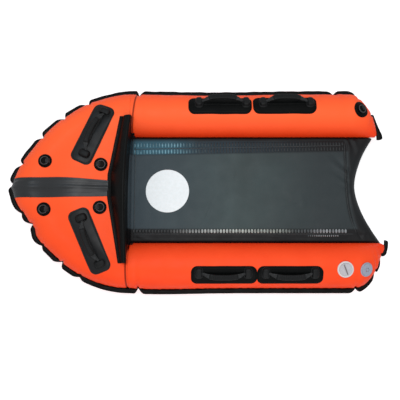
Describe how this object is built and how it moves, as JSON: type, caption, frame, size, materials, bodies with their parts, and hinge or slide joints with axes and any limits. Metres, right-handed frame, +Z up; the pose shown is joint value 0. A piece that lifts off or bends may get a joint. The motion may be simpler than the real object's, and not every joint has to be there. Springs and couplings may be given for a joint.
{
  "type": "inflatable rescue board",
  "caption": "Flat inflatable rescue board with a scalloped bow, two side tubes, a low deck between them, a breakwater, carrying handles, lashing rings and valves.",
  "frame": {"origin": "middle of the hull floor's flat underside", "axes": "-X towards the nose, +Y to starboard, +Z up"},
  "size_m": [1.6647, 0.922, 0.2653],
  "materials": {
    "orange_skin": "satin",
    "black_skin": "satin",
    "deck_skin": "satin",
    "white_vinyl": "satin",
    "foam": "matte",
    "webbing": "matte",
    "grip_rubber": "matte",
    "grey_plastic": "satin",
    "black_plastic": "satin",
    "spring_steel": "satin"
  },
  "bodies": {
    "hull": {"bow_upper_skin": "orange_skin", "bow_lower_skin": "orange_skin", "starboard_tube_upper_skin": "orange_skin", "starboard_tube_lower_skin": "orange_skin", "port_tube_upper_skin": "orange_skin", "port_tube_lower_skin": "orange_skin", "bow_seam_flange": "black_skin", "starboard_seam_flange": "black_skin", "port_seam_flange": "black_skin", "hull_floor": "black_skin", "breakwater_cover": "black_skin", "bow_centre_strip": "black_skin", "bow_starboard_handle_patch": "black_skin", "bow_port_handle_patch": "black_skin", "mid_starboard_handle_patch": "black_skin", "mid_port_handle_patch": "black_skin", "aft_starboard_handle_patch": "black_skin", "aft_port_handle_patch": "black_skin", "bow_starboard_ring_patch": "black_skin", "bow_port_ring_patch": "black_skin", "breakwater_starboard_ring_patch": "black_skin", "breakwater_port_ring_patch": "black_skin", "tail_starboard_ring_patch": "black_skin", "deck_cover": "deck_skin", "badge_disc": "white_vinyl", "deck_foam_core": "foam", "breakwater_foam": "foam", "bow_starboard_ring_tab": "webbing", "bow_port_ring_tab": "webbing", "breakwater_starboard_ring_tab": "webbing", "breakwater_port_ring_tab": "webbing", "tail_starboard_ring_tab": "webbing", "inflation_valve_body": "grey_plastic", "inflation_valve_nut": "grey_plastic", "relief_valve_body": "grey_plastic", "relief_valve_nut": "grey_plastic", "relief_valve_cover": "grey_plastic", "inflation_valve_spring": "spring_steel", "relief_valve_spring": "spring_steel"},
    "bow_starboard_handle": {"bow_starboard_handle_webbing": "webbing", "bow_starboard_handle_grip": "grip_rubber"},
    "bow_port_handle": {"bow_port_handle_webbing": "webbing", "bow_port_handle_grip": "grip_rubber"},
    "mid_starboard_handle": {"mid_starboard_handle_webbing": "webbing", "mid_starboard_handle_grip": "grip_rubber"},
    "mid_port_handle": {"mid_port_handle_webbing": "webbing", "mid_port_handle_grip": "grip_rubber"},
    "aft_starboard_handle": {"aft_starboard_handle_webbing": "webbing", "aft_starboard_handle_grip": "grip_rubber"},
    "aft_port_handle": {"aft_port_handle_webbing": "webbing", "aft_port_handle_grip": "grip_rubber"},
    "bow_starboard_ring_link": {"bow_starboard_ring": "black_plastic"},
    "bow_port_ring_link": {"bow_port_ring": "black_plastic"},
    "breakwater_starboard_ring_link": {"breakwater_starboard_ring": "black_plastic"},
    "breakwater_port_ring_link": {"breakwater_port_ring": "black_plastic"},
    "tail_starboard_ring_link": {"tail_starboard_ring": "black_plastic"},
    "inflation_cap": {"inflation_valve_cap": "grey_plastic"},
    "inflation_plunger": {"inflation_valve_plunger": "black_plastic"},
    "relief_poppet": {"relief_valve_poppet": "black_plastic"}
  },
  "joints": [
    {"name": "bow_starboard_handle_tip", "type": "hinge", "parent": "hull", "child": "bow_starboard_handle", "pos_m": [-0.44951, 0.23452, 0.22614], "axis": [0.3876, 0.9176, -0.0879], "range_deg": [-15, 105]},
    {"name": "bow_port_handle_tip", "type": "hinge", "parent": "hull", "child": "bow_port_handle", "pos_m": [-0.45488, -0.23875, 0.22548], "axis": [-0.3867, 0.9156, 0.1098], "range_deg": [-15, 105]},
    {"name": "mid_starboard_handle_tip", "type": "hinge", "parent": "hull", "child": "mid_starboard_handle", "pos_m": [0.10899, 0.38073, 0.20433], "axis": [1, 0, 0], "range_deg": [-15, 105]},
    {"name": "mid_port_handle_tip", "type": "hinge", "parent": "hull", "child": "mid_port_handle", "pos_m": [0.10899, -0.37613, 0.20537], "axis": [-1, 0, 0], "range_deg": [-15, 105]},
    {"name": "aft_starboard_handle_tip", "type": "hinge", "parent": "hull", "child": "aft_starboard_handle", "pos_m": [0.39299, 0.38073, 0.20433], "axis": [1, 0, 0], "range_deg": [-15, 105]},
    {"name": "aft_port_handle_tip", "type": "hinge", "parent": "hull", "child": "aft_port_handle", "pos_m": [0.39299, -0.37613, 0.20537], "axis": [-1, 0, 0], "range_deg": [-15, 105]},
    {"name": "bow_starboard_ring_tip", "type": "hinge", "parent": "hull", "child": "bow_starboard_ring_link", "pos_m": [-0.64715, 0.10637, 0.23225], "axis": [0, 0.9963, -0.0859], "range_deg": [0, 165]},
    {"name": "bow_port_ring_tip", "type": "hinge", "parent": "hull", "child": "bow_port_ring_link", "pos_m": [-0.64508, -0.10461, 0.2325], "axis": [0, 0.9963, 0.0859], "range_deg": [0, 165]},
    {"name": "breakwater_starboard_ring_tip", "type": "hinge", "parent": "hull", "child": "breakwater_starboard_ring_link", "pos_m": [-0.43217, 0.09384, 0.21734], "axis": [0, -0.9999, -0.011], "range_deg": [0, 165]},
    {"name": "breakwater_port_ring_tip", "type": "hinge", "parent": "hull", "child": "breakwater_port_ring_link", "pos_m": [-0.43217, -0.09385, 0.21733], "axis": [0, -0.9999, 0.0108], "range_deg": [0, 165]},
    {"name": "tail_starboard_ring_tip", "type": "hinge", "parent": "hull", "child": "tail_starboard_ring_link", "pos_m": [0.73591, 0.35502, 0.19152], "axis": [-0.5917, 0.789, 0.1655], "range_deg": [0, 165]},
    {"name": "inflation_cap_turn", "type": "hinge", "parent": "hull", "child": "inflation_cap", "pos_m": [0.62599, -0.35856, 0.20287], "axis": [0, -0.1854, 0.9827], "range_deg": [0, 90]},
    {"name": "inflation_plunger_slide", "type": "slide", "parent": "hull", "child": "inflation_plunger", "axis": [0, -0.1854, 0.9827], "range_m": [-0.008, 0], "stiffness_N_per_m": 300, "springref_m": 0.01, "deforming": ["inflation_valve_spring"]},
    {"name": "relief_poppet_lift", "type": "slide", "parent": "hull", "child": "relief_poppet", "axis": [0.3945, -0.2462, 0.8853], "range_m": [0, 0.004], "stiffness_N_per_m": 600, "springref_m": -0.01, "deforming": ["relief_valve_spring"]}
  ]
}
